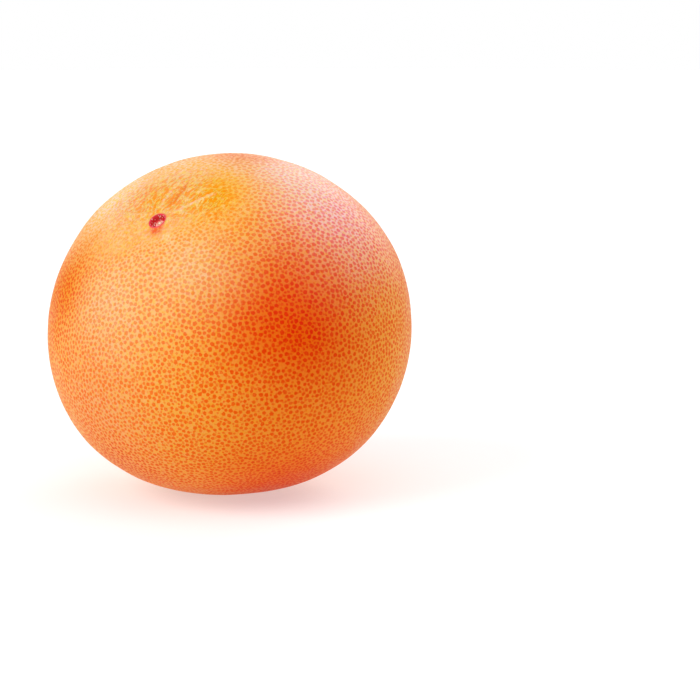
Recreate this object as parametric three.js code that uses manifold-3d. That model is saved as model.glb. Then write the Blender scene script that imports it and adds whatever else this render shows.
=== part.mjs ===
// A whole grapefruit, grown as one body: a slightly squashed globe with a
// shallow basin and a button scar at the stem end, a small navel at the
// blossom end, pitted peel all over, and a small flat spot that it rests on.
//
// Frame: millimetres, +Z up, origin on the resting plane under the middle of
// the fruit. The fruit leans, so its stem axis is not upright.

import * as THREE from 'three';
import { ConvexGeometry } from 'three/addons/geometries/ConvexGeometry.js';
import { mergeVertices } from 'three/addons/utils/BufferGeometryUtils.js';
import Module from 'manifold-3d';

// ---------------------------------------------------------------------------
// Driving dimensions, in millimetres and degrees
// ---------------------------------------------------------------------------

const EQUATOR_RADIUS = 55.3; // middle of the fruit to its widest circle
const POLE_RADIUS = 48.8; // middle of the fruit to either end, hollows apart
const STEM_TILT = 43.5; // stem axis off the vertical
const STEM_AZIMUTH = -123.6; // side that the stem leans to, from +X towards +Y

// Broad swellings and flats of the ripened fruit: where each one is, as
// azimuth and elevation, and its height as a share of the radius.
const LOBE_WIDTH = 40;
const LOBES = [
  { azimuth: -95, elevation: -79, swell: -0.062 }, // pressed underside
  { azimuth: 170, elevation: 45, swell: 0.02 }, // left shoulder
  { azimuth: 20, elevation: -45, swell: 0.071 }, // heavy right cheek
  { azimuth: 17, elevation: 58, swell: -0.025 }, // flat of the right shoulder
];

const BASIN_RADIUS = 12; // hollow round the stem scar
const BASIN_DEPTH = 1.2;
const FURROWS = [20, 88, 150, 222, 301]; // faint folds round the stem
const FURROW_WIDTH = 15; // half width of one fold, as an angle
const FURROW_DEPTH = 0.3;
const FURROW_START = 5; // how far from the stem axis a fold starts,
const FURROW_DEEPEST = 10; // is at its deepest
const FURROW_END = 24; // and has faded

const SCAR_RIM_RADIUS = 2.55; // crest of the ring that the stalk left
const SCAR_RIM_WIDTH = 0.4;
const SCAR_RIM_HEIGHT = 0.3;
const POCKET_TOP_RADIUS = 2.3; // pocket inside the ring
const POCKET_FOOT_RADIUS = 1.7;
const POCKET_DEPTH = 1.1;
const BUTTON_RADIUS = 1.25; // woody core in the middle of the pocket
const BUTTON_HEIGHT = 0.5;

const NAVEL_RADIUS = 3.2; // small hollow at the blossom end
const NAVEL_DEPTH = 0.7;

const PIT_SPACING = 5.6; // between peel pits, wider apart than life
const PIT_DEPTH = 0.35; // middle of a pit below its edge
const PIT_RUN_IN = 6; // pits reach full depth this far from either end's rings
const PIT_SHAKE = 0.9; // how far a pit strays from an even pattern, in spacings
const PIT_EVENING = 2; // times that the strayed pits are evened out

const FLAT_CUT = 0.6; // how much the flat spot takes off the underside
const FLAT_MARGIN = 15; // no pits this near its middle

const SCAR_SECTORS = 30; // points on each ring of the stem scar
const SCAR_RINGS = [0.65, 1.2, 1.7, 2, 2.3, 2.55, 2.9, 3.5, 4.5, 6];
const NAVEL_SECTORS = 14; // points on each ring of the navel
const NAVEL_RINGS = [1, 2, 3.2, 5];

const SEED = 20811;

const PEEL = { color: 0xee8a33, roughness: 0.42, metalness: 0 };

// ---------------------------------------------------------------------------
// Small helpers
// ---------------------------------------------------------------------------

const { degToRad, radToDeg, euclideanModulo, smoothstep, lerp } = THREE.MathUtils;
const GOLDEN_ANGLE = Math.PI * (3 - Math.sqrt(5));
const DOWN = new THREE.Vector3(0, 0, -1);

function seededRandom(seed) {
  let state = seed >>> 0;
  return () => {
    state = (state + 0x6d2b79f5) >>> 0;
    let mixed = Math.imul(state ^ (state >>> 15), state | 1);
    mixed ^= mixed + Math.imul(mixed ^ (mixed >>> 7), mixed | 61);
    return ((mixed ^ (mixed >>> 14)) >>> 0) / 4294967296;
  };
}

function direction(azimuth, elevation) {
  const level = Math.cos(degToRad(elevation));
  return new THREE.Vector3(
    level * Math.cos(degToRad(azimuth)),
    level * Math.sin(degToRad(azimuth)),
    Math.sin(degToRad(elevation)),
  );
}

function bell(distance, width) {
  return Math.exp(-((distance / width) ** 2));
}

// ---------------------------------------------------------------------------
// The fruit's own axes: the stem, and two sides square to it
// ---------------------------------------------------------------------------

const STEM = direction(STEM_AZIMUTH, 90 - STEM_TILT);
const SIDE = new THREE.Vector3(0, 0, 1).cross(STEM).normalize();
const BACK = new THREE.Vector3().crossVectors(STEM, SIDE);

function aroundStem(polar, turn) {
  return new THREE.Vector3()
    .addScaledVector(STEM, Math.cos(polar))
    .addScaledVector(SIDE, Math.sin(polar) * Math.cos(turn))
    .addScaledVector(BACK, Math.sin(polar) * Math.sin(turn));
}

// Distances along the peel from the stem end and from the blossom end.
function fromStem(outward) {
  return outward.angleTo(STEM) * POLE_RADIUS;
}

function fromNavel(outward) {
  return (Math.PI - outward.angleTo(STEM)) * POLE_RADIUS;
}

// ---------------------------------------------------------------------------
// The peel's distance from the middle of the fruit, in any direction
// ---------------------------------------------------------------------------

function globeRadius(outward) {
  const polar = outward.angleTo(STEM);
  return 1 / Math.hypot(Math.sin(polar) / EQUATOR_RADIUS, Math.cos(polar) / POLE_RADIUS);
}

function lobeSwell(outward) {
  const span = 1 - Math.cos(degToRad(LOBE_WIDTH));
  return LOBES.reduce((sum, lobe) => {
    const facing = outward.dot(direction(lobe.azimuth, lobe.elevation));
    return sum + lobe.swell * Math.exp((facing - 1) / span);
  }, 0);
}

function furrowDepth(outward) {
  const distance = fromStem(outward);
  const deepening = smoothstep(distance, FURROW_START, FURROW_DEEPEST);
  const fading = 1 - smoothstep(distance, FURROW_DEEPEST, FURROW_END);
  const turn = radToDeg(Math.atan2(outward.dot(BACK), outward.dot(SIDE)));
  const folds = FURROWS.reduce((sum, place) => {
    const off = euclideanModulo(turn - place + 180, 360) - 180;
    return sum + bell(off, FURROW_WIDTH);
  }, 0);
  return FURROW_DEPTH * folds * deepening * fading;
}

function scarHeight(distance) {
  const rim = SCAR_RIM_HEIGHT * bell(distance - SCAR_RIM_RADIUS, SCAR_RIM_WIDTH);
  const pocket = POCKET_DEPTH * (1 - smoothstep(distance, POCKET_FOOT_RADIUS, POCKET_TOP_RADIUS));
  const button = BUTTON_HEIGHT * (1 - smoothstep(distance, BUTTON_RADIUS / 2, BUTTON_RADIUS));
  return rim - pocket + button;
}

function peelRadius(outward) {
  return (
    globeRadius(outward) * (1 + lobeSwell(outward)) -
    BASIN_DEPTH * bell(fromStem(outward), BASIN_RADIUS) -
    furrowDepth(outward) +
    scarHeight(fromStem(outward)) -
    NAVEL_DEPTH * bell(fromNavel(outward), NAVEL_RADIUS)
  );
}

// How deep a pit may be there, from 0 on the ends and the flat spot to 1.
function pitShare(outward) {
  const past = Math.min(
    fromStem(outward) - SCAR_RINGS.at(-1),
    fromNavel(outward) - NAVEL_RINGS.at(-1),
    outward.angleTo(DOWN) * POLE_RADIUS - FLAT_MARGIN,
  );
  return smoothstep(past, 0, PIT_RUN_IN);
}

// ---------------------------------------------------------------------------
// Directions of the peel's points: rings at both ends, pits between them
// ---------------------------------------------------------------------------

function ringDirections(rings, sectors, end) {
  const ringed = [aroundStem(end, 0)];
  rings.forEach((radius, row) => {
    for (let i = 0; i < sectors; i += 1) {
      const turn = ((i + (row % 2) / 2) / sectors) * 2 * Math.PI;
      ringed.push(aroundStem(Math.abs(end - radius / POLE_RADIUS), turn));
    }
  });
  return ringed;
}

function scatteredDirections(random) {
  const top = Math.cos((SCAR_RINGS.at(-1) + PIT_SPACING / 2) / POLE_RADIUS);
  const bottom = -Math.cos((NAVEL_RINGS.at(-1) + PIT_SPACING / 2) / POLE_RADIUS);
  const area = 2 * Math.PI * (top - bottom) * EQUATOR_RADIUS * POLE_RADIUS;
  const count = Math.round(area / ((Math.sqrt(3) / 2) * PIT_SPACING ** 2));
  const stray = () => (PIT_SHAKE * PIT_SPACING * (random() - 0.5)) / EQUATOR_RADIUS;
  return Array.from({ length: count }, (_, i) => {
    const height = lerp(top, bottom, (i + 0.5) / count);
    const even = aroundStem(Math.acos(height), i * GOLDEN_ANGLE);
    return even.add(new THREE.Vector3(stray(), stray(), stray())).normalize();
  });
}

// The closed net of triangles over a set of directions, as on a unit ball.
function netOver(directions) {
  const hull = new ConvexGeometry(directions);
  hull.deleteAttribute('normal');
  const skin = mergeVertices(hull, 1e-6);
  const knots = Array.from({ length: skin.attributes.position.count }, (_, i) => (
    new THREE.Vector3().fromBufferAttribute(skin.attributes.position, i).normalize()
  ));
  const faces = Array.from({ length: skin.index.count / 3 }, (_, i) => (
    [0, 1, 2].map((j) => skin.index.getX(3 * i + j))
  ));
  return { knots, faces };
}

// Every loose direction moves to the middle of its neighbours.
function evenedOut(loose, fixed) {
  const { knots, faces } = netOver([...fixed, ...loose]);
  const middles = knots.map(() => new THREE.Vector3());
  for (const face of faces) {
    for (const knot of face) {
      face.filter((other) => other !== knot).forEach((other) => middles[knot].add(knots[other]));
    }
  }
  const held = new Set(fixed.map(roundedKey));
  return middles
    .filter((_, i) => !held.has(roundedKey(knots[i])))
    .map((middle) => middle.normalize());
}

function roundedKey(point) {
  return point.toArray().map((value) => value.toFixed(5)).join();
}

// ---------------------------------------------------------------------------
// Pitted skin: each face of the net gets a point on the peel at its middle,
// and these points make the edges of the pits round the net's own points
// ---------------------------------------------------------------------------

function pittedSkin(net, random) {
  const position = [];
  const place = (outward, radius) => {
    position.push(...outward.clone().multiplyScalar(radius).toArray());
    return position.length / 3 - 1;
  };
  const shares = net.knots.map(pitShare);
  net.knots.forEach((knot, i) => {
    const pit = PIT_DEPTH * shares[i] * lerp(0.7, 1.3, random());
    place(knot, peelRadius(knot) - pit);
  });

  // A face with no pitted corner stays whole.
  const middleOf = net.faces.map((face) => {
    if (face.every((knot) => shares[knot] === 0)) return -1;
    const outward = new THREE.Vector3();
    face.forEach((knot) => outward.add(net.knots[knot]));
    outward.normalize();
    return place(outward, peelRadius(outward));
  });

  const sideOf = new Map();
  net.faces.forEach((face, i) => {
    face.forEach((knot, j) => sideOf.set(`${knot} ${face[(j + 1) % 3]}`, i));
  });
  const index = [];
  net.faces.forEach((face, i) => {
    if (middleOf[i] < 0) {
      index.push(...face);
      return;
    }
    face.forEach((from, j) => {
      const to = face[(j + 1) % 3];
      // The middles of two faces join across their shared side.
      const across = middleOf[sideOf.get(`${to} ${from}`)];
      index.push(from, across < 0 ? to : across, middleOf[i]);
    });
  });

  const skin = new THREE.BufferGeometry();
  skin.setAttribute('position', new THREE.Float32BufferAttribute(position, 3));
  skin.setIndex(index);
  return skin;
}

// ---------------------------------------------------------------------------
// Flat spot: the underside is cut off level, and the fruit is set on Z = 0
// with the middle of its outer box over the origin
// ---------------------------------------------------------------------------

function toManifold(wasm, geometry) {
  return new wasm.Manifold(new wasm.Mesh({
    numProp: 3,
    vertProperties: new Float32Array(geometry.attributes.position.array),
    triVerts: new Uint32Array(geometry.index.array),
  }));
}

function fromManifold(solid) {
  const mesh = solid.getMesh();
  const geometry = new THREE.BufferGeometry();
  geometry.setAttribute('position', new THREE.BufferAttribute(mesh.vertProperties, 3));
  geometry.setIndex(new THREE.BufferAttribute(mesh.triVerts, 1));
  return geometry;
}

function restedOnFlat(wasm, skin) {
  skin.computeBoundingBox();
  const level = skin.boundingBox.min.z + FLAT_CUT;
  const slab = new THREE.BoxGeometry(4 * EQUATOR_RADIUS, 4 * EQUATOR_RADIUS, EQUATOR_RADIUS);
  slab.deleteAttribute('normal');
  slab.deleteAttribute('uv');
  slab.translate(0, 0, level - EQUATOR_RADIUS / 2);
  const cut = toManifold(wasm, skin).subtract(toManifold(wasm, mergeVertices(slab)));
  const middle = skin.boundingBox.getCenter(new THREE.Vector3());
  return fromManifold(cut).translate(-middle.x, -middle.y, -level);
}

// ---------------------------------------------------------------------------
// The fruit
// ---------------------------------------------------------------------------

const wasm = await Module();
wasm.setup();

const random = seededRandom(SEED);
const ends = [
  ...ringDirections(SCAR_RINGS, SCAR_SECTORS, 0),
  ...ringDirections(NAVEL_RINGS, NAVEL_SECTORS, Math.PI),
];
let pits = scatteredDirections(random);
for (let i = 0; i < PIT_EVENING; i += 1) pits = evenedOut(pits, ends);

const peel = restedOnFlat(wasm, pittedSkin(netOver([...ends, ...pits]), random));
peel.computeVertexNormals();

const fruit = new THREE.Mesh(peel, new THREE.MeshStandardMaterial(PEEL));
fruit.name = 'grapefruit';

const part = new THREE.Group();
part.name = 'part';
part.add(fruit);

export default part;
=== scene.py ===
"""A whole grapefruit resting on its underside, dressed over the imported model.

The peel is one closed skin. Its shape follows the same dimensions as the solid
that it replaces, and thousands of oil glands are sunk into it, each one a small
pit with a ring of points of its own. Lengths are millimetres until the skin is
made, and metres in the scene.
"""

import math

import bpy
import numpy as np
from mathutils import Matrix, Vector, noise
from mathutils.geometry import delaunay_2d_cdt


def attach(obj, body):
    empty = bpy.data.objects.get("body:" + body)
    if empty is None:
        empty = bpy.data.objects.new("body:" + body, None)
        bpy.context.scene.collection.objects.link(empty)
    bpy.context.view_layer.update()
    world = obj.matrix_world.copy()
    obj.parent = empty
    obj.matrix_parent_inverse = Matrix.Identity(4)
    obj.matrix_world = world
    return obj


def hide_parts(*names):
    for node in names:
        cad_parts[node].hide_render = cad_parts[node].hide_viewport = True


MILLIMETRE = 0.001
SEED = 20811

# ---------------------------------------------------------------------------
# Shape of the fruit, in millimetres and degrees, as in the solid
# ---------------------------------------------------------------------------

EQUATOR_RADIUS = 55.3
POLE_RADIUS = 48.8
STEM_TILT = 43.5
STEM_AZIMUTH = -123.6

LOBE_WIDTH = 40
LOBES = (  # azimuth, elevation, swell as a share of the radius
    (-95, -79, -0.062),  # pressed underside
    (170, 45, 0.02),  # left shoulder
    (20, -45, 0.071),  # heavy right cheek
    (17, 58, -0.025),  # flat of the right shoulder
)

BASIN_RADIUS = 12
BASIN_DEPTH = 1.2
FURROWS = (20, 88, 150, 222, 301)
FURROW_WIDTH = 15
FURROW_DEPTH = 0.3
FURROW_START, FURROW_DEEPEST, FURROW_END = 5, 10, 24

RIM_RADIUS = 2.55
RIM_WIDTH = 0.4
RIM_HEIGHT = 0.3
POCKET_TOP_RADIUS = 2.3
POCKET_FOOT_RADIUS = 1.7
POCKET_DEPTH = 1.1
BUTTON_RADIUS = 1.25
BUTTON_HEIGHT = 0.5
BUTTON_TURN, BUTTON_SHIFT = 331, 0.45  # which way about the stem it sits off the middle

NAVEL_RADIUS = 3.2
NAVEL_DEPTH = 0.7
FLAT_CUT = 0.6

# ---------------------------------------------------------------------------
# Finer shape of the skin, in millimetres and degrees
# ---------------------------------------------------------------------------

LARGE_ROOM, LARGE_DEPTH, LARGE_SIDES = 0.66, 0.085, 5  # half the space kept, depth, corners
SMALL_ROOM, SMALL_DEPTH, SMALL_SIDES = 0.47, 0.05, 4
ROOM_SPREAD = 0.1  # how unlike in size they are
NARROW_SHARE, NARROW_END = 0.6, 20  # of their size close to the stem, and where that ends
UNEVEN_SIZE, UNEVEN_SHARE = 22, 0.12  # slow change of their size over the peel
FINER_SIDE, FINER_SHARE = (0.1, -0.63, -0.77), 0.1  # where they are smallest, and by how much
BARE_REACH, BARE_EXTRA = 9, 16  # how far from the stem they stay faint, and how much more
BARE_TURN = 130  # on this side of it,
BARE_SWING = -0.9, 0.3  # with the cosine of the turn off it going from least to most
GROWING = 0.4, 1.2  # shares of that reach where they start to show and where they are full
BARE_TONE, BARE_DEPTH = 0.12, 0.2  # shares that they keep where they are faintest
STRONG_TONE, FAINT_TONE = (0.82, 1.05), (0.6, 0.95)  # of large and small ones, least and most
OWN_DEPTH = 0.8, 1.2  # how unlike in depth they are
DARTS = 150000  # tries at placing a gland
LARGE_SHARE = 0.3  # of the darts, thrown first
SPREADING_ROUNDS = 20  # times that crowded glands are pushed apart
SPREADING = 1.24  # how near is crowded, as a share of the room of both
PUSH_PARTS = 3  # one part in this many of what is short is made up in a round
DOT_REACH = 1.25  # how far a gland reaches, as a share of its room
DOT_SHARE = 0.9  # of the way from its middle to the border with the next, at most
LEAST_FACING = 0.2  # so that a neighbour off to one side doesn't press on it

SCAR_EDGE = 3.6  # no glands this near the stem axis
SCAR_GRAIN = 0.17  # between points of the scar
NAVEL_EDGE = 1.8
NAVEL_GRAIN = 0.3
ENDS_GAP = 0.2  # between the points of either end and the glands about it
SWELLS = ((13, 0.16), (5, 0.05))  # slow waves of the peel: size, height
FOLDS = (  # about the stem: turn at the near and far ends, distances, half width, height
    (41, 48, 4, 20, 0.65, 0.26),
    (82, 87, 6, 18, 1.15, -0.22),
    (108, 93, 5, 18, 0.8, 0.16),
    (152, 200, 3.5, 20, 0.8, 0.12),
    (318, 322, 6, 13, 1.6, 0.14),
    (14, 4, 4, 13, 0.9, 0.08),
    (186, 212, 20, 27, 1.6, -0.12),
)
FOLD_RISE, FOLD_FADE = (-1, 2), (-4, 1)  # where it rises about its start, and fades about its end
FOLD_TONE = 0.2  # height of a fold that shows its full painted highlight or shade
WRINKLE_ALONG = (0.65, 0.68, 0.34)  # the way that the fine wrinkles run
WRINKLE_WIDTH, WRINKLE_LENGTH, WRINKLE_HEIGHT = 1.0, 2.6, 0.13
WRINKLE_FOOT = 0.3  # noise at the foot of a ridge
WRINKLED_TURN = 95  # side of the stem where they are,
WRINKLED_SWING = -0.5, 0.7  # with the cosine of the turn off it going from none to most
WRINKLED_RISE, WRINKLED_FADE = (3.5, 9), (14, 30)  # distances from the stem axis
CREASED_RISE, CREASED_LEAST = (2.5, 4), 0.5  # the same for fine creases, and their least share
NEAR_UPRIGHT = 0.9  # rise of a direction too near +Z to be crossed with it


def smoothstep(value, start, end):
    share = np.clip((value - start) / (end - start), 0, 1)
    return share * share * (3 - 2 * share)


def bell(distance, width):
    return np.exp(-((distance / width) ** 2))


def direction(azimuth, elevation):
    turn, rise = math.radians(azimuth), math.radians(elevation)
    level = math.cos(rise)
    return np.array((math.cos(turn) * level, math.sin(turn) * level, math.sin(rise)))


def unit(vectors):
    return vectors / np.linalg.norm(vectors, axis=-1, keepdims=True)


STEM = direction(STEM_AZIMUTH, 90 - STEM_TILT)
SIDE = unit(np.cross((0.0, 0.0, 1.0), STEM))
BACK = np.cross(STEM, SIDE)
BLUSH_AND_SHADE, BLUSH_AND_SHADE_WIDTH = direction(-121.5, 42.8), 1.9  # red spot close under the scar, partly a painted shadow
GOLDEN_ANGLE = math.pi * (3 - math.sqrt(5))


def from_stem(outward):
    """Distance along the peel from the stem end."""
    return np.arccos(np.clip(outward @ STEM, -1, 1)) * POLE_RADIUS


def from_navel(outward):
    """Distance along the peel from the blossom end."""
    return np.arccos(np.clip(-outward @ STEM, -1, 1)) * POLE_RADIUS


def turn_off(outward, place):
    """How far round the stem a direction is from a place, in degrees."""
    turn = np.degrees(np.arctan2(outward @ BACK, outward @ SIDE))
    return (turn - place + 180) % 360 - 180


def noise_over(places, size):
    """Smooth noise, from about -0.6 to 0.6, with bumps about this size."""
    return np.array([noise.noise(Vector(place)) for place in (places / size).tolist()])


# ---------------------------------------------------------------------------
# The peel's distance from the middle of the fruit, in any direction
# ---------------------------------------------------------------------------

def globe_radius(outward):
    along = outward @ STEM
    across = np.sqrt(np.maximum(0, 1 - along ** 2))
    return 1 / np.hypot(across / EQUATOR_RADIUS, along / POLE_RADIUS)


def lobe_swell(outward):
    span = 1 - math.cos(math.radians(LOBE_WIDTH))
    return sum(swell * np.exp((outward @ direction(azimuth, elevation) - 1) / span)
               for azimuth, elevation, swell in LOBES)


def furrow_depth(outward):
    distance = from_stem(outward)
    deepening = smoothstep(distance, FURROW_START, FURROW_DEEPEST)
    fading = 1 - smoothstep(distance, FURROW_DEEPEST, FURROW_END)
    folds = sum(bell(turn_off(outward, place), FURROW_WIDTH) for place in FURROWS)
    return FURROW_DEPTH * folds * deepening * fading


def from_button(outward):
    """Distance from the middle of the stalk's core."""
    distance, turn = from_stem(outward), np.radians(turn_off(outward, BUTTON_TURN))
    return np.hypot(distance * np.cos(turn) - BUTTON_SHIFT, distance * np.sin(turn))


def scar_height(outward):
    distance = from_stem(outward)
    rim = RIM_HEIGHT * bell(distance - RIM_RADIUS, RIM_WIDTH)
    pocket = POCKET_DEPTH * (1 - smoothstep(distance, POCKET_FOOT_RADIUS, POCKET_TOP_RADIUS))
    button = BUTTON_HEIGHT * (1 - smoothstep(from_button(outward), BUTTON_RADIUS / 2, BUTTON_RADIUS))
    return rim - pocket + button


def peel_radius(outward):
    return (globe_radius(outward) * (1 + lobe_swell(outward))
            - BASIN_DEPTH * bell(from_stem(outward), BASIN_RADIUS)
            - furrow_depth(outward)
            + scar_height(outward)
            - NAVEL_DEPTH * bell(from_navel(outward), NAVEL_RADIUS))


# ---------------------------------------------------------------------------
# Relief that the solid leaves out
# ---------------------------------------------------------------------------

def swell_height(outward):
    places = outward * globe_radius(outward)[:, None]
    clear = smoothstep(from_stem(outward), SCAR_EDGE, 2 * SCAR_EDGE)
    return clear * sum(height * noise_over(places, size) for size, height in SWELLS)


def fold_height(outward):
    """Height of the ridges and grooves that run out from the stem scar."""
    distance = from_stem(outward)
    height = np.zeros(len(outward))
    for near_turn, far_turn, start, end, half_width, rise in FOLDS:
        share = np.clip((distance - start) / (end - start), 0, 1)
        off = turn_off(outward, near_turn + (far_turn - near_turn) * share)
        ends = smoothstep(distance - start, *FOLD_RISE) * (1 - smoothstep(distance - end, *FOLD_FADE))
        height += rise * ends * bell(np.radians(off) * distance, half_width)
    return height


def swing(outward, place, span):
    """A share from 0 to 1 that grows as the turn about the stem nears a place."""
    return smoothstep(np.cos(np.radians(turn_off(outward, place))), *span)


def wrinkled(outward):
    """How wrinkled the skin is, from 0 to 1: most above the stem scar."""
    distance = from_stem(outward)
    ring = smoothstep(distance, *WRINKLED_RISE) * (1 - smoothstep(distance, *WRINKLED_FADE))
    return ring * swing(outward, WRINKLED_TURN, WRINKLED_SWING)


def wrinkle_height(outward):
    """Fine wrinkles that all run one way, as ridges with rounder valleys."""
    places = outward * POLE_RADIUS
    along = places @ np.array(WRINKLE_ALONG)
    places = places - np.outer(along, WRINKLE_ALONG) * (1 - WRINKLE_WIDTH / WRINKLE_LENGTH)
    ridges = WRINKLE_FOOT - np.abs(noise_over(places, WRINKLE_WIDTH))
    return WRINKLE_HEIGHT * wrinkled(outward) * ridges / WRINKLE_FOOT


def gland_growth(outward):
    """How full the glands are, from 0 in the bare skin about the stem to 1."""
    reach = BARE_REACH + BARE_EXTRA * swing(outward, BARE_TURN, BARE_SWING)
    start, full = GROWING
    return smoothstep(from_stem(outward), start * reach, full * reach)


def creased(outward):
    """How finely creased the skin is, from 0 to 1: most about the stem scar."""
    most = CREASED_LEAST + (1 - CREASED_LEAST) * swing(outward, WRINKLED_TURN, WRINKLED_SWING)
    return most * smoothstep(from_stem(outward), *CREASED_RISE) * (1 - gland_growth(outward))


def relief(outward):
    return swell_height(outward) + fold_height(outward) + wrinkle_height(outward)


# ---------------------------------------------------------------------------
# Where the glands sit: darts thrown at the peel, each kept if there is room
# ---------------------------------------------------------------------------

def cell_of(place):
    return tuple(int(value // (2 * LARGE_ROOM * (1 + ROOM_SPREAD))) for value in place)


def has_room(place, room, cells):
    x, y, z = place
    column, row, layer = cell_of(place)
    for i in (column - 1, column, column + 1):
        for j in (row - 1, row, row + 1):
            for k in (layer - 1, layer, layer + 1):
                for a, b, c, other in cells.get((i, j, k), ()):
                    if (x - a) ** 2 + (y - b) ** 2 + (z - c) ** 2 < (room + other) ** 2:
                        return False
    return True


def spread(directions, room):
    """The glands, each pushed off the ones about it that are too close."""
    for _ in range(SPREADING_ROUNDS):
        near, far = sides_of(net_over(directions)).T
        apart = directions[far] - directions[near]
        length = np.linalg.norm(apart, axis=1)
        short = SPREADING * (room[near] + room[far]) / globe_radius(directions[near]) - length
        push = apart * (np.clip(short, 0, None) / length / PUSH_PARTS)[:, None]
        np.add.at(directions, far, push)
        directions = unit(directions)
    return directions


def room_for(darts, large, random):
    """Half the space that a gland keeps: less close to the stem, and uneven."""
    narrow = NARROW_SHARE + (1 - NARROW_SHARE) * smoothstep(from_stem(darts), 0, NARROW_END)
    slow = 1 - UNEVEN_SHARE * np.abs(noise_over(darts * EQUATOR_RADIUS, UNEVEN_SIZE))
    slow = slow - FINER_SHARE * (darts @ np.array(FINER_SIDE))
    own = random.uniform(1 - ROOM_SPREAD, 1 + ROOM_SPREAD, len(darts))
    return np.where(large, LARGE_ROOM, SMALL_ROOM) * narrow * slow * own


def scatter_glands(random):
    """Directions of the glands, the room that each one has, and which are large."""
    darts = unit(random.normal(size=(DARTS, 3)))
    darts = darts[(from_stem(darts) > SCAR_EDGE) & (from_navel(darts) > NAVEL_EDGE)]
    large = np.arange(len(darts)) < LARGE_SHARE * len(darts)
    room = room_for(darts, large, random)
    cells, kept = {}, []
    places = (darts * globe_radius(darts)[:, None]).tolist()
    for i, (place, reach) in enumerate(zip(places, room.tolist())):
        if has_room(place, reach, cells):
            cells.setdefault(cell_of(place), []).append((*place, reach))
            kept.append(i)
    return spread(darts[kept], room[kept]), room[kept], large[kept]


def level_pair(outward):
    """Two directions across each of these, square to each other."""
    upright = np.where(np.abs(outward[:, 2:]) < NEAR_UPRIGHT, (0.0, 0.0, 1.0), (1.0, 0.0, 0.0))
    east = unit(np.cross(upright, outward))
    return east, np.cross(outward, east)


def gland_edges(centres, room, large, random):
    """Directions round the edge of each gland, and whose edge each one is on.

    A gland is round where it has its room, and flattened where its neighbours
    press on it.
    """
    near, far = sides_of(net_over(centres)).T
    east, north = level_pair(centres)
    apart = centres[far] - centres[near]
    toward = np.arctan2((apart * north[near]).sum(axis=1), (apart * east[near]).sum(axis=1))
    border = np.linalg.norm(apart, axis=1) * room[near] / (room[near] + room[far])
    start = random.uniform(0, 2 * math.pi, len(centres))
    edges, owners = [], []
    for sides, chosen in ((LARGE_SIDES, large), (SMALL_SIDES, ~large)):
        for i in range(sides):
            turn = start + 2 * math.pi * i / sides
            reach = DOT_REACH * room / globe_radius(centres)
            facing = np.clip(np.cos(turn[near] - toward), LEAST_FACING, 1)
            np.minimum.at(reach, near, DOT_SHARE * border / facing)
            level = np.cos(turn)[:, None] * east + np.sin(turn)[:, None] * north
            edges.append(unit(centres + reach[:, None] * level)[chosen])
            owners.append(np.flatnonzero(chosen))
    edges, owners = np.concatenate(edges), np.concatenate(owners)
    clear = (from_stem(edges) > SCAR_EDGE) & (from_navel(edges) > NAVEL_EDGE)
    return edges[clear], owners[clear]


def sunflower(toward, edge, grain):
    """Directions that fill a round patch of the skin about one end of the axis."""
    own_area = math.sqrt(3) / 2 * grain ** 2
    count = int(math.pi * edge ** 2 / own_area)
    step = np.arange(count) + 0.5
    polar = edge / POLE_RADIUS * np.sqrt(step / count)
    turn = step * GOLDEN_ANGLE
    level = np.cos(turn)[:, None] * SIDE + np.sin(turn)[:, None] * BACK
    return np.cos(polar)[:, None] * toward + np.sin(polar)[:, None] * level


# ---------------------------------------------------------------------------
# The skin: a net of triangles over all the directions, raised to the peel
# ---------------------------------------------------------------------------

def sides_of(faces):
    """The two ends of each side of each face."""
    return np.concatenate((faces[:, (0, 1)], faces[:, (1, 2)], faces[:, (2, 0)]))


def net_over(directions):
    """Triangles over a ball's points, drawn flat from the first point.

    Seen from that point, the others fall on a plane. The flat net there leaves
    a hole round the first point, and a fan closes it.
    """
    pole = directions[0]
    east = unit(np.cross(pole, STEM))
    north = np.cross(pole, east)
    rest = directions[1:]
    flat = np.stack((rest @ east, rest @ north), axis=1) / (1 - rest @ pole)[:, None]
    made = delaunay_2d_cdt([Vector(point) for point in flat.tolist()], [], [], 0, 1e-9, False)
    faces = np.array(made[2]) + 1
    sides = sides_of(faces)
    whole = len(directions)
    there = sides[:, 0] * whole + sides[:, 1]
    back = sides[:, 1] * whole + sides[:, 0]
    rim = sides[~np.isin(back, there)]
    fan = np.column_stack((rim[:, 1], rim[:, 0], np.zeros(len(rim), dtype=int)))
    return np.concatenate((faces, fan))


def facing_out(points, faces):
    """The faces, each turned so that its front looks out of the fruit."""
    a, b, c = (points[faces[:, i]] for i in range(3))
    inward = np.einsum("ij,ij->i", np.cross(b - a, c - a), a + b + c) < 0
    faces[inward] = faces[inward][:, ::-1]
    return faces


def gland_points(random):
    """Directions of every gland's middle and edge, with what each one is."""
    centres, room, large = scatter_glands(random)
    edges, owners = gland_edges(centres, room, large, random)
    strong = random.uniform(*STRONG_TONE, len(centres))
    faint = random.uniform(*FAINT_TONE, len(centres))
    grown = gland_growth(centres)
    depth = np.where(large, LARGE_DEPTH, SMALL_DEPTH) * random.uniform(*OWN_DEPTH, len(centres))
    depth = depth * (BARE_DEPTH + (1 - BARE_DEPTH) * grown)
    tone = np.where(large, strong, faint) * (BARE_TONE + (1 - BARE_TONE) * grown)
    flat = np.zeros(len(owners))
    return (np.concatenate((centres, edges)),
            np.concatenate((depth, flat)),
            np.concatenate((np.ones(len(centres)), flat)),
            np.concatenate((tone, tone[owners])))


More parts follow.
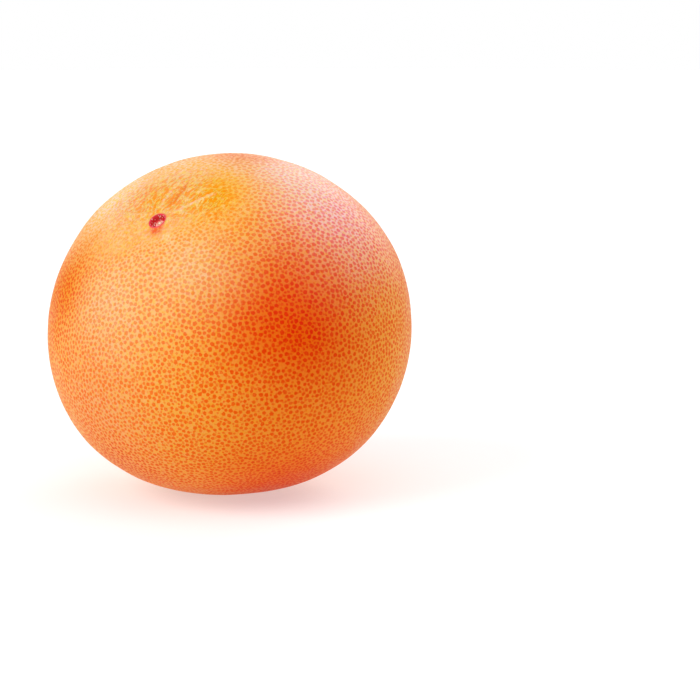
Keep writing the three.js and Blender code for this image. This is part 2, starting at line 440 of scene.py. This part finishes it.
def skin_points(random):
    """Directions of the skin's points, how far each is sunk, and its marks."""
    directions, sunk, gland, tone = gland_points(random)
    ends = np.concatenate((sunflower(STEM, SCAR_EDGE - ENDS_GAP, SCAR_GRAIN),
                           sunflower(-STEM, NAVEL_EDGE - ENDS_GAP, NAVEL_GRAIN)))
    none = np.zeros(len(ends))
    directions = np.concatenate((directions, ends))
    sunk = np.concatenate((sunk, none))
    marks = {
        "gland": np.concatenate((gland, none)),
        "gland_tone": np.concatenate((tone, none)),
        "stem_distance": from_stem(directions),
        "navel_distance": from_navel(directions),
        "button_distance": from_button(directions),
        "wrinkled": wrinkled(directions),
        "creased": creased(directions),
        "fold": fold_height(directions) / FOLD_TONE,
        # the spot under the scar, partly red and partly a painted shadow
        "blush_and_shade": bell(np.linalg.norm(directions - BLUSH_AND_SHADE, axis=1) * POLE_RADIUS, BLUSH_AND_SHADE_WIDTH),
    }
    return directions, sunk, marks


def settled(points):
    """The fruit set down on its flat spot, and where that puts its middle."""
    low, high = points.min(axis=0), points.max(axis=0)
    level = low[2] + FLAT_CUT
    points[:, 2] = np.maximum(points[:, 2], level)
    shift = -np.array(((low[0] + high[0]) / 2, (low[1] + high[1]) / 2, level))
    return points + shift, shift


def material_numbers(marks, faces):
    """Which of the skin's four materials each face has."""
    names = "stem_distance", "navel_distance", "button_distance"
    stem, navel, button = (marks[name][faces].mean(axis=1) for name in names)
    return np.select((button < CORE_EDGE, stem < SCAR_COLOUR_EDGE, navel < NAVEL_EDGE), (2, 1, 3), 0)


def make_peel(random):
    """The skin as one piece, and the middle of the fruit in metres."""
    directions, sunk, marks = skin_points(random)
    faces = net_over(directions)
    radius = peel_radius(directions) + relief(directions) - sunk
    points, middle = settled(directions * radius[:, None])
    faces = facing_out(points - middle, faces)
    mesh = bpy.data.meshes.new("peel")
    mesh.from_pydata((points * MILLIMETRE).tolist(), [], faces.tolist())
    mesh.shade_smooth()
    for name, values in marks.items():
        mesh.attributes.new(name, "FLOAT", "POINT").data.foreach_set("value", values.astype(np.float32))
    for material in (peel_material(middle), scar_material(), core_material(), blossom_material()):
        mesh.materials.append(material)
    mesh.polygons.foreach_set("material_index", material_numbers(marks, faces).astype(np.int32))
    piece = bpy.data.objects.new("peel", mesh)
    bpy.context.scene.collection.objects.link(piece)
    return piece, Vector(middle * MILLIMETRE)


# ---------------------------------------------------------------------------
# Colours
# ---------------------------------------------------------------------------

def srgb(red, green, blue):
    """A colour as it looks, from 0 to 255, turned into the light that nodes take."""
    shares = (value / 255 for value in (red, green, blue))
    return (*(s / 12.92 if s <= 0.04045 else ((s + 0.055) / 1.055) ** 2.4 for s in shares), 1)


# Skin and gland colours, by the look of each kind of peel, some paled or deepened by painted highlight,
# sheen or shade
ORANGE = srgb(240, 180, 65), srgb(240, 105, 5)
RED_ORANGE = srgb(225, 90, 0), srgb(215, 30, 0)
# orange browned partly by painted shade
BROWN_ORANGE_AND_SHADE = srgb(225, 95, 0), srgb(215, 50, 0)
BRIGHT_ORANGE = srgb(230, 140, 15), srgb(225, 65, 5)
ROSE = srgb(235, 140, 65), srgb(215, 55, 30)
SALMON = srgb(230, 160, 100), srgb(230, 110, 45)
# peach, its pale skin partly a painted highlight between the glands
PEACH_AND_HIGHLIGHT = srgb(235, 190, 130), srgb(230, 150, 90)
# pink pigment paled by a painted sheen, in two strengths
PINK_AND_SHEEN = srgb(245, 190, 175), srgb(240, 110, 115)
PALE_PINK_AND_SHEEN = srgb(240, 210, 185), srgb(240, 165, 150)
YELLOW = srgb(240, 195, 100), srgb(235, 130, 35)
GOLD = srgb(240, 180, 0), srgb(240, 140, 0)
# gold glands on skin paled partly by a painted highlight
PALE_GOLD_AND_HIGHLIGHT = srgb(240, 205, 180), srgb(240, 195, 45)

PATCHES = (  # over plain orange: azimuth, elevation, half width, strength, colours
    (150, 0, 50, 0.7, BRIGHT_ORANGE),  # far left side
    (55, -10, 50, 0.8, ROSE),  # far right side
    (95, 30, 30, 0.8, ROSE),  # blush at the back
    (140, -25, 25, 0.7, YELLOW),  # paler low at the back
    (165, 35, 20, 0.6, YELLOW),  # yellower high at the back
    (10, 15, 25, 0.7, ROSE),  # rosy skin past the pink
    (-65, 10, 30, 1.0, RED_ORANGE),  # deep red-orange cheek
    (-30, 45, 20, 1.0, PINK_AND_SHEEN),  # pink shoulder, its pale skin partly a painted sheen
    (-25, 65, 20, 1.0, PALE_PINK_AND_SHEEN),  # paler pink above it, partly a painted sheen
    (-20, 85, 10, 0.8, ROSE),  # rosy top
    (-55, -55, 35, 1.0, BROWN_ORANGE_AND_SHADE),  # browner under the cheek, partly painted shade
    (-130, 15, 20, 1.0, PEACH_AND_HIGHLIGHT),  # peach at the left, its pale skin partly a painted highlight
    (-135, -20, 25, 0.8, SALMON),  # pinkish lower left
    (-135, -45, 15, 0.6, ROSE),  # rosier under it
    (-160, 15, 15, 0.9, BRIGHT_ORANGE),  # orange left rim
    (-100, 30, 15, 0.9, PEACH_AND_HIGHLIGHT),  # peach in front of the stem scar, its pale skin partly a painted highlight
    (-120, 65, 20, 1.0, PALE_GOLD_AND_HIGHLIGHT),  # pale gold above it, its pale skin partly a painted highlight
    (-165, 50, 15, 1.0, PALE_GOLD_AND_HIGHLIGHT),  # pale far shoulder, partly a painted highlight
    (-95, 60, 15, 1.0, GOLD),  # golden creased skin
    (-135, 55, 10, 0.8, GOLD),  # gold round the scar
)
STRAY_SIZE, STRAY_REACH = 18, 0.18  # noise that frays the patches: its bumps, how far it strays

GLAND_SHAKE, GLAND_FULL = 0.2, 0.24  # unevenness of a gland's edge, and where it has its full tone
SPECKS_APART = 0.85  # tiny faint glands between the sunken ones
SPECK_EDGE, SPECK_FULL, SPECK_TONE = 0.5, 0.22, 0.8  # as shares of that, and their most tone
MOTTLE, CREASED_MOTTLE = 0.9, 3.6  # fine unevenness of the gland colour, and how much more if creased
YELLOWING, CREASED_YELLOWING = 2.2, 1.5  # unevenness of the yellow, the same way

DRAWN = 0.55  # share by which places are squeezed along the wrinkles
CREASE_LINE, CREASE_VALLEY = (0.055, 0.01), (0.04, 0.1)  # noise off its middle, from none to most
# painted shade for the crease valleys and a painted highlight for their raised lines
CREASE_PAINTED_SHADE, CREASE_PAINTED_HIGHLIGHT = srgb(243, 120, 0), srgb(255, 214, 132)
# painted highlight on the fold ridges and painted shade in the grooves
RIDGE_PAINTED_HIGHLIGHT, GROOVE_PAINTED_SHADE = srgb(252, 214, 156), srgb(238, 114, 14)
RIM_RED, RIM_GREEN = srgb(232, 92, 50), srgb(206, 178, 96)  # skin that meets the scar
# red of the spot under the scar, partly a painted shadow
UNDER_SCAR_RED_AND_SHADE = srgb(232, 88, 46)

SCAR_COLOUR_EDGE = 2.75  # of the stalk's crimson scar
CORE_EDGE = 1.5  # of the pale core in it
VEIN_APART, VEIN_SHARE = 0.5, 0.3  # ends of the stalk's veins, and their half width as a share
VEIN_CREAM, VEIN_BROWN = srgb(255, 244, 224), srgb(122, 84, 34)
SCAR_RINGS = (  # distance from the axis, colour
    (BUTTON_RADIUS, srgb(204, 6, 4)),
    (2.0, srgb(206, 10, 14)),
    (2.3, srgb(216, 20, 40)),
    (2.5, srgb(228, 28, 74)),
    (SCAR_COLOUR_EDGE, srgb(232, 44, 76)),
)
CORE_RINGS = (
    (0, srgb(255, 222, 190)),
    (0.32, srgb(255, 226, 198)),
    (0.5, srgb(176, 92, 52)),
    (0.68, srgb(240, 168, 132)),
    (1.05, srgb(255, 214, 196)),
    (CORE_EDGE, srgb(232, 96, 104)),
)
BLOSSOM_RINGS = (
    (0, srgb(112, 66, 34)),
    (0.8, srgb(158, 94, 42)),
    (1.3, srgb(212, 122, 44)),
    (NAVEL_EDGE, srgb(238, 138, 40)),
)
RAGGED_SIZE = 0.6  # bumps of the noise that makes the rings ragged


# ---------------------------------------------------------------------------
# Nodes
# ---------------------------------------------------------------------------

def fill_in(tree, node, inputs):
    """Gives each input its value, or joins another node's output to it."""
    for socket, value in inputs.items():
        if isinstance(value, bpy.types.NodeSocket):
            tree.links.new(value, node.inputs[socket])
        else:
            node.inputs[socket].default_value = value


def put(tree, kind, inputs, **settings):
    """Adds a node with these inputs and settings."""
    node = tree.nodes.new("ShaderNode" + kind)
    for name, value in settings.items():
        setattr(node, name, value)
    fill_in(tree, node, inputs)
    return node


def calc(tree, operation, first, second=0.0):
    return put(tree, "Math", {0: first, 1: second}, operation=operation).outputs[0]


def plus(tree, first, second):
    return calc(tree, "ADD", first, second)


def times(tree, first, second):
    return calc(tree, "MULTIPLY", first, second)


def vector_of(tree, operation, inputs, output="Vector"):
    return put(tree, "VectorMath", inputs, operation=operation).outputs[output]


def mixed(tree, share, first, second):
    """A colour that goes from the first to the second."""
    return put(tree, "Mix", {0: share, 6: first, 7: second}, data_type="RGBA").outputs[2]


def eased(tree, value, start, end, first=0.0, last=1.0):
    """A number that goes smoothly from first to last as the value goes from start to end."""
    inputs = {"Value": value, "From Min": start, "From Max": end, "To Min": first, "To Max": last}
    return put(tree, "MapRange", inputs, interpolation_type="SMOOTHSTEP").outputs["Result"]


def noise_field(tree, place, size, detail=2.0):
    """Noise with bumps about this size, in millimetres, at a place in metres."""
    inputs = {"Vector": place, "Scale": 1 / (size * MILLIMETRE), "Detail": detail}
    return put(tree, "TexNoise", inputs).outputs


def off_middle(tree, place, size, detail=2.0):
    """The same noise as a number, either side of 0."""
    return calc(tree, "SUBTRACT", noise_field(tree, place, size, detail)["Fac"], 0.5)


def mark(tree, name):
    """A number that the skin's points carry."""
    return put(tree, "Attribute", {}, attribute_name=name).outputs["Fac"]


def object_place(tree):
    return put(tree, "TexCoord", {}).outputs["Object"]


def new_group(name, inputs, outputs):
    """A group with its input and output nodes. Sockets are given as name and kind."""
    group = bpy.data.node_groups.new(name, "ShaderNodeTree")
    for socket, kind in inputs:
        group.interface.new_socket(socket, in_out="INPUT", socket_type="NodeSocket" + kind)
    for socket, kind in outputs:
        group.interface.new_socket(socket, in_out="OUTPUT", socket_type="NodeSocket" + kind)
    return group, group.nodes.new("NodeGroupInput").outputs, group.nodes.new("NodeGroupOutput").inputs


def use_group(tree, group, inputs):
    node = tree.nodes.new("ShaderNodeGroup")
    node.node_tree = group
    fill_in(tree, node, inputs)
    return node.outputs


def soft_patch_group():
    """Lays a soft-edged patch of skin and gland colours over those that come in."""
    group, given, made = new_group(
        "soft_patch",
        (("Outward", "Vector"), ("Toward", "Vector"), ("Spread", "Float"), ("Strength", "Float"),
         ("Skin", "Color"), ("Gland", "Color"), ("Patch Skin", "Color"), ("Patch Gland", "Color")),
        (("Skin", "Color"), ("Gland", "Color")))
    facing = vector_of(group, "DOT_PRODUCT", {0: given["Outward"], 1: given["Toward"]}, "Value")
    short = calc(group, "SUBTRACT", facing, 1.0)
    share = calc(group, "EXPONENT", calc(group, "DIVIDE", short, given["Spread"]))
    share = calc(group, "MINIMUM", times(group, share, given["Strength"]), 1.0)
    for name in ("Skin", "Gland"):
        group.links.new(mixed(group, share, given[name], given["Patch " + name]), made[name])
    return group


def fine_grain_group():
    """Fine uneven tone over a colour, with the height of the same grain."""
    group, given, made = new_group(
        "fine_grain",
        (("Place", "Vector"), ("Scale", "Float"), ("Contrast", "Float"), ("Color", "Color")),
        (("Color", "Color"), ("Height", "Float")))
    grain = put(group, "TexNoise", {"Vector": given["Place"], "Scale": given["Scale"], "Detail": 3.0})
    tone = times(group, calc(group, "SUBTRACT", grain.outputs["Fac"], 0.5), given["Contrast"])
    shade = put(group, "HueSaturation", {"Value": plus(group, tone, 1.0), "Color": given["Color"]})
    group.links.new(shade.outputs["Color"], made["Color"])
    group.links.new(grain.outputs["Fac"], made["Height"])
    return group


def ragged_distance_group():
    """Shakes a distance a little by noise, so that the rings it makes are ragged."""
    group, given, made = new_group(
        "ragged_distance",
        (("Place", "Vector"), ("Distance", "Float"), ("Ragged", "Float")),
        (("Distance", "Float"),))
    shake = times(group, off_middle(group, given["Place"], RAGGED_SIZE), given["Ragged"])
    group.links.new(plus(group, given["Distance"], shake), made["Distance"])
    return group


def group_of(name, make):
    """The group of that name, made the first time it is asked for."""
    return bpy.data.node_groups.get(name) or make()


def fine_grain(tree, place, size, contrast, colour):
    return use_group(tree, group_of("fine_grain", fine_grain_group), {
        "Place": place, "Scale": 1 / (size * MILLIMETRE), "Contrast": contrast, "Color": colour})


def ragged_distance(tree, name, ragged):
    """Distance from an end of the axis, as the skin's points carry it, made ragged."""
    return use_group(tree, group_of("ragged_distance", ragged_distance_group), {
        "Place": object_place(tree), "Distance": mark(tree, name), "Ragged": ragged})["Distance"]


def new_material(name, **finish):
    """A material and its shader, with each finish set on the shader's own socket."""
    material = bpy.data.materials.new(name)
    material.use_nodes = True
    shader = material.node_tree.nodes["Principled BSDF"]
    for socket, value in finish.items():
        shader.inputs[socket.replace("_", " ")].default_value = value
    return material, material.node_tree, shader


def bump(tree, height, depth):
    """Normals bent by a height, from 0 to 1, that is this many millimetres deep."""
    return put(tree, "Bump", {"Height": height, "Distance": depth * MILLIMETRE}).outputs["Normal"]


# ---------------------------------------------------------------------------
# The peel's material
# ---------------------------------------------------------------------------

def frayed_direction(tree, place, middle):
    """Direction from the middle of the fruit, led a little astray by noise."""
    ray = vector_of(tree, "SUBTRACT", {0: place, 1: middle})
    outward = vector_of(tree, "NORMALIZE", {0: ray})
    stray = noise_field(tree, place, STRAY_SIZE, 3.0)["Color"]
    stray = vector_of(tree, "SUBTRACT", {0: stray, 1: (0.5, 0.5, 0.5)})
    stray = vector_of(tree, "SCALE", {0: stray, "Scale": STRAY_REACH})
    return vector_of(tree, "NORMALIZE", {0: vector_of(tree, "ADD", {0: outward, 1: stray})})


def pigment_and_painted_light(tree, place, middle):
    """Skin and gland colours all round the fruit, as soft patches with ragged edges, some partly
    painted highlight, sheen or shade.
    """
    outward = frayed_direction(tree, place, middle)
    skin, gland = ORANGE
    for azimuth, elevation, half_width, strength, (patch_skin, patch_gland) in PATCHES:
        skin, gland = use_group(tree, group_of("soft_patch", soft_patch_group), {
            "Outward": outward, "Toward": direction(azimuth, elevation),
            "Spread": 1 - math.cos(math.radians(half_width)), "Strength": strength,
            "Skin": skin, "Gland": gland, "Patch Skin": patch_skin, "Patch Gland": patch_gland})
    return skin, gland


def gland_spots(tree, place):
    """Where the sunken glands are, from 0 to 1, with uneven edges."""
    edge = times(tree, off_middle(tree, place, 0.5), GLAND_SHAKE)
    return eased(tree, plus(tree, mark(tree, "gland"), edge), 0.0, GLAND_FULL)


def faint_specks(tree, place):
    """How strongly tiny glands show in the gaps between the sunken ones, up to SPECK_TONE."""
    cells = put(tree, "TexVoronoi", {"Vector": place, "Scale": 1 / (SPECKS_APART * MILLIMETRE)}).outputs
    own = put(tree, "SeparateColor", {"Color": cells["Color"]}).outputs["Red"]
    spot = eased(tree, cells["Distance"], SPECK_EDGE, SPECK_FULL)
    return times(tree, spot, times(tree, own, SPECK_TONE))


def gland_share(tree, place, spots):
    """How much of the gland colour shows, with specks and a fine mottle."""
    tone = times(tree, spots, mark(tree, "gland_tone"))
    specks = times(tree, faint_specks(tree, place), mark(tree, "gland_tone"))
    tone = plus(tree, tone, times(tree, specks, calc(tree, "SUBTRACT", 1.0, spots)))
    reach = plus(tree, times(tree, mark(tree, "creased"), CREASED_MOTTLE), MOTTLE)
    return plus(tree, tone, times(tree, off_middle(tree, place, 0.42), reach))


def unevenly_yellow(tree, place, colour):
    """The colour, a little yellower in some places and pinker in others."""
    parts = put(tree, "SeparateColor", {"Color": colour}).outputs
    reach = plus(tree, times(tree, mark(tree, "creased"), CREASED_YELLOWING), YELLOWING)
    share = plus(tree, times(tree, off_middle(tree, place, 0.85, 3.0), reach), 1.0)
    blue = times(tree, parts["Blue"], calc(tree, "MAXIMUM", share, 0.0))
    channels = {"Red": parts["Red"], "Green": parts["Green"], "Blue": blue}
    return put(tree, "CombineColor", channels).outputs[0]


def drawn_place(tree, place):
    """Places squeezed along the wrinkles, so that noise there is drawn out along them."""
    along = vector_of(tree, "DOT_PRODUCT", {0: place, 1: WRINKLE_ALONG}, "Value")
    drawn = vector_of(tree, "SCALE", {0: WRINKLE_ALONG, "Scale": times(tree, along, -DRAWN)})
    return vector_of(tree, "ADD", {0: place, 1: drawn})


def creases(tree, place):
    """Masks of the thin raised lines in the creased skin, and of the valleys between them.

    The lines run where noise passes its middle.
    """
    off = calc(tree, "ABSOLUTE", off_middle(tree, drawn_place(tree, place), 1.25, 3.0))
    share = calc(tree, "MAXIMUM", mark(tree, "wrinkled"), mark(tree, "creased"))
    line = times(tree, eased(tree, off, *CREASE_LINE), share)
    return line, times(tree, eased(tree, off, *CREASE_VALLEY), share)


def over_creases(tree, colour, skin, lines, valleys):
    """The colour, with painted shade in the valleys of the creased skin and a painted highlight on its
    lines.
    """
    colour = mixed(tree, times(tree, valleys, 0.65), colour, CREASE_PAINTED_SHADE)
    painted_highlight = mixed(tree, 0.6, skin, CREASE_PAINTED_HIGHLIGHT)
    return mixed(tree, times(tree, lines, 0.9), colour, painted_highlight)


def over_folds(tree, colour, ragged):
    """The colour, with a painted highlight on the ridges about the stem and painted shade in the
    grooves.
    """
    fold = times(tree, mark(tree, "fold"), ragged)
    colour = mixed(tree, eased(tree, fold, 0.1, 1.2, 0.0, 0.6), colour, RIDGE_PAINTED_HIGHLIGHT)
    return mixed(tree, eased(tree, fold, -0.1, -1.2, 0.0, 0.75), colour, GROOVE_PAINTED_SHADE)


def round_scar(tree, place, colour, ragged):
    """The colour, reddish and greenish where it meets the scar, with a red spot under it that is partly
    a painted shadow.
    """
    rim = eased(tree, mark(tree, "stem_distance"), 2.7, 3.5, 0.6, 0.0)
    greenish = eased(tree, noise_field(tree, place, 1.4)["Fac"], 0.46, 0.56)
    colour = mixed(tree, rim, colour, mixed(tree, greenish, RIM_RED, RIM_GREEN))
    # the red spot under the scar, partly a painted shadow
    blush_and_shade = calc(tree, "MINIMUM", times(tree, mark(tree, "blush_and_shade"), ragged), 0.9)
    return mixed(tree, blush_and_shade, colour, UNDER_SCAR_RED_AND_SHADE)


def peel_material(middle):
    material, tree, shader = new_material(
        "waxy_peel", Specular_IOR_Level=0.08, Specular_Tint=(1.0, 0.5, 0.15, 1.0))
    place = object_place(tree)
    skin, gland = pigment_and_painted_light(tree, place, middle * MILLIMETRE)
    spots = gland_spots(tree, place)
    lines, valleys = creases(tree, place)
    ragged = eased(tree, noise_field(tree, place, 0.8, 3.0)["Fac"], 0.36, 0.6, 0.5, 1.4)

    colour = mixed(tree, gland_share(tree, place, spots), skin, gland)
    colour = over_creases(tree, colour, skin, lines, valleys)
    colour = over_folds(tree, colour, ragged)
    colour = round_scar(tree, place, colour, ragged)
    grained = fine_grain(tree, place, 0.35, 0.14, unevenly_yellow(tree, place, colour))
    tree.links.new(grained["Color"], shader.inputs["Base Color"])

    rough = eased(tree, noise_field(tree, place, 6)["Fac"], 0.3, 0.7, 0.36, 0.46)
    rough = plus(tree, rough, times(tree, spots, 0.12))
    tree.links.new(rough, shader.inputs["Roughness"])

    height = plus(tree, lines, times(tree, grained["Height"], 0.18))
    tree.links.new(bump(tree, height, 0.13), shader.inputs["Normal"])
    return material


# ---------------------------------------------------------------------------
# Materials of the stem scar and of the blossom end
# ---------------------------------------------------------------------------

def ringed_colour(tree, distance, stops):
    """A colour that changes with the distance from the axis, in millimetres."""
    ramp = put(tree, "ValToRGB", {"Fac": calc(tree, "DIVIDE", distance, stops[-1][0])})
    elements = ramp.color_ramp.elements
    for element, (radius, colour) in zip(elements, (stops[0], stops[-1])):
        element.position, element.color = radius / stops[-1][0], colour
    for radius, colour in stops[1:-1]:
        elements.new(radius / stops[-1][0]).color = colour
    return ramp.outputs["Color"]


def finish_small(tree, shader, colour, size, contrast, depth):
    """Grain and a little bump for one of the small dry or fleshy places."""
    grained = fine_grain(tree, object_place(tree), size, contrast, colour)
    tree.links.new(grained["Color"], shader.inputs["Base Color"])
    tree.links.new(bump(tree, grained["Height"], depth), shader.inputs["Normal"])


def vein_ends(tree, colour):
    """Scatters the tiny round ends of the stalk's veins over a colour, cream or brown."""
    scale = 1 / (VEIN_APART * MILLIMETRE)
    cells = put(tree, "TexVoronoi", {"Vector": object_place(tree), "Scale": scale}).outputs
    kind = put(tree, "SeparateColor", {"Color": cells["Color"]}).outputs["Red"]
    ends = mixed(tree, eased(tree, kind, 0.66, 0.7), VEIN_CREAM, VEIN_BROWN)
    share = eased(tree, cells["Distance"], VEIN_SHARE * 1.2, VEIN_SHARE * 0.8)
    share = times(tree, share, eased(tree, mark(tree, "stem_distance"), 2.5, 2.3))
    return mixed(tree, share, colour, ends), share


def scar_material():
    material, tree, shader = new_material("stalk_scar", Roughness=0.38, Specular_IOR_Level=0.4)
    colour = ringed_colour(tree, ragged_distance(tree, "stem_distance", 0.3), SCAR_RINGS)
    colour, share = vein_ends(tree, colour)
    grained = fine_grain(tree, object_place(tree), 0.25, 0.3, colour)
    tree.links.new(grained["Color"], shader.inputs["Base Color"])
    tree.links.new(bump(tree, share, 0.1), shader.inputs["Normal"])
    return material


def core_material():
    material, tree, shader = new_material("woody_core", Roughness=0.6)
    colour = ringed_colour(tree, ragged_distance(tree, "button_distance", 0.5), CORE_RINGS)
    finish_small(tree, shader, colour, 0.2, 0.4, 0.04)
    return material


def blossom_material():
    material, tree, shader = new_material("blossom_scar", Roughness=0.65, Specular_IOR_Level=0.12)
    colour = ringed_colour(tree, ragged_distance(tree, "navel_distance", 0.7), BLOSSOM_RINGS)
    finish_small(tree, shader, colour, 0.3, 0.5, 0.06)
    return material


# ---------------------------------------------------------------------------
# Studio
# ---------------------------------------------------------------------------

FLOOR_RADIUS = 4
AMBIENT = 0.34  # strength of the light from all round
FLOOR_GREY, FLOOR_GLOW = srgb(206, 206, 206), 0.45
WHITE = (1, 1, 1, 1)
SOFTBOXES = (  # name, azimuth, elevation, strength, how wide it looks in degrees
    ("left_softbox", -150, 35, 1.65, 40),
    ("top_softbox", -60, 70, 0.95, 70),
    ("back_softbox", 60, 24, 1.1, 40),
    ("low_back_softbox", 100, 10, 0.6, 40),
    ("front_softbox", -20, 40, 0.3, 40),
)


def make_floor():
    bpy.ops.mesh.primitive_circle_add(vertices=96, radius=FLOOR_RADIUS, fill_type="NGON")
    floor = bpy.context.object
    floor.name = "studio_floor"
    material, _, shader = new_material("studio_floor", Roughness=0.9, Specular_IOR_Level=0.1)
    shader.inputs["Base Color"].default_value = FLOOR_GREY
    shader.inputs["Emission Color"].default_value = WHITE
    shader.inputs["Emission Strength"].default_value = FLOOR_GLOW
    floor.data.materials.append(material)


def make_lights():
    for name, azimuth, elevation, strength, width in SOFTBOXES:
        light = bpy.data.lights.new(name, "SUN")
        light.energy = strength
        light.angle = math.radians(width)
        lamp = bpy.data.objects.new(name, light)
        lamp.rotation_euler = Vector(direction(azimuth, elevation)).to_track_quat("Z", "Y").to_euler()
        bpy.context.scene.collection.objects.link(lamp)


def make_world():
    """Soft white light from all round, with plain white where nothing is."""
    world = bpy.data.worlds.new("studio")
    world.use_nodes = True
    tree = world.node_tree
    glow = tree.nodes["Background"]
    glow.inputs["Color"].default_value = WHITE
    glow.inputs["Strength"].default_value = AMBIENT
    seen = put(tree, "Background", {"Color": WHITE})
    is_seen = put(tree, "LightPath", {}).outputs["Is Camera Ray"]
    both = put(tree, "MixShader", {0: is_seen, 1: glow.outputs[0], 2: seen.outputs[0]})
    tree.links.new(both.outputs[0], tree.nodes["World Output"].inputs["Surface"])
    bpy.context.scene.world = world


LENS, SENSOR_WIDTH = 100, 36  # in millimetres
PICTURE_WIDTH = 700  # in pixels
CAMERA_HEIGHT_ANGLE = 10
CAMERA_AWAY = 0.586  # from the middle of the fruit, in metres
AIM_RIGHT, AIM_DOWN = -121, -24  # where the fruit's middle shows, in pixels off the picture's


def make_camera(middle):
    camera = bpy.data.objects.new("camera", bpy.data.cameras.new("camera"))
    camera.data.lens = LENS
    camera.data.sensor_width = SENSOR_WIDTH
    tilt = math.radians(CAMERA_HEIGHT_ANGLE)
    back = Vector((0, -math.cos(tilt), math.sin(tilt)))
    upward = Vector((0, math.sin(tilt), math.cos(tilt)))
    right = Vector((1, 0, 0))
    pixel = CAMERA_AWAY * SENSOR_WIDTH / (LENS * PICTURE_WIDTH)
    aim = upward * AIM_DOWN - right * AIM_RIGHT
    camera.location = middle + back * CAMERA_AWAY + aim * pixel
    camera.rotation_euler = (math.pi / 2 - tilt, 0, 0)
    bpy.context.scene.collection.objects.link(camera)
    bpy.context.scene.camera = camera


# ---------------------------------------------------------------------------
# The scene
# ---------------------------------------------------------------------------

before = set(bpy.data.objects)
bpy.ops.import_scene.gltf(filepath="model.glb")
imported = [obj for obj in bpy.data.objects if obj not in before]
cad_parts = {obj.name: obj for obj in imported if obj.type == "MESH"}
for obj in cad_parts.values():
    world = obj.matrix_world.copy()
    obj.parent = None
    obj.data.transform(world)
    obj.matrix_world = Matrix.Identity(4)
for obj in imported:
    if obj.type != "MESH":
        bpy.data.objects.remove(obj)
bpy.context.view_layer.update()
bpy.context.scene.view_settings.view_transform = "Standard"

peel, fruit_middle = make_peel(np.random.default_rng(SEED))
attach(peel, "root")
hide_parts("grapefruit")

make_world()
make_lights()
make_floor()
make_camera(fruit_middle)
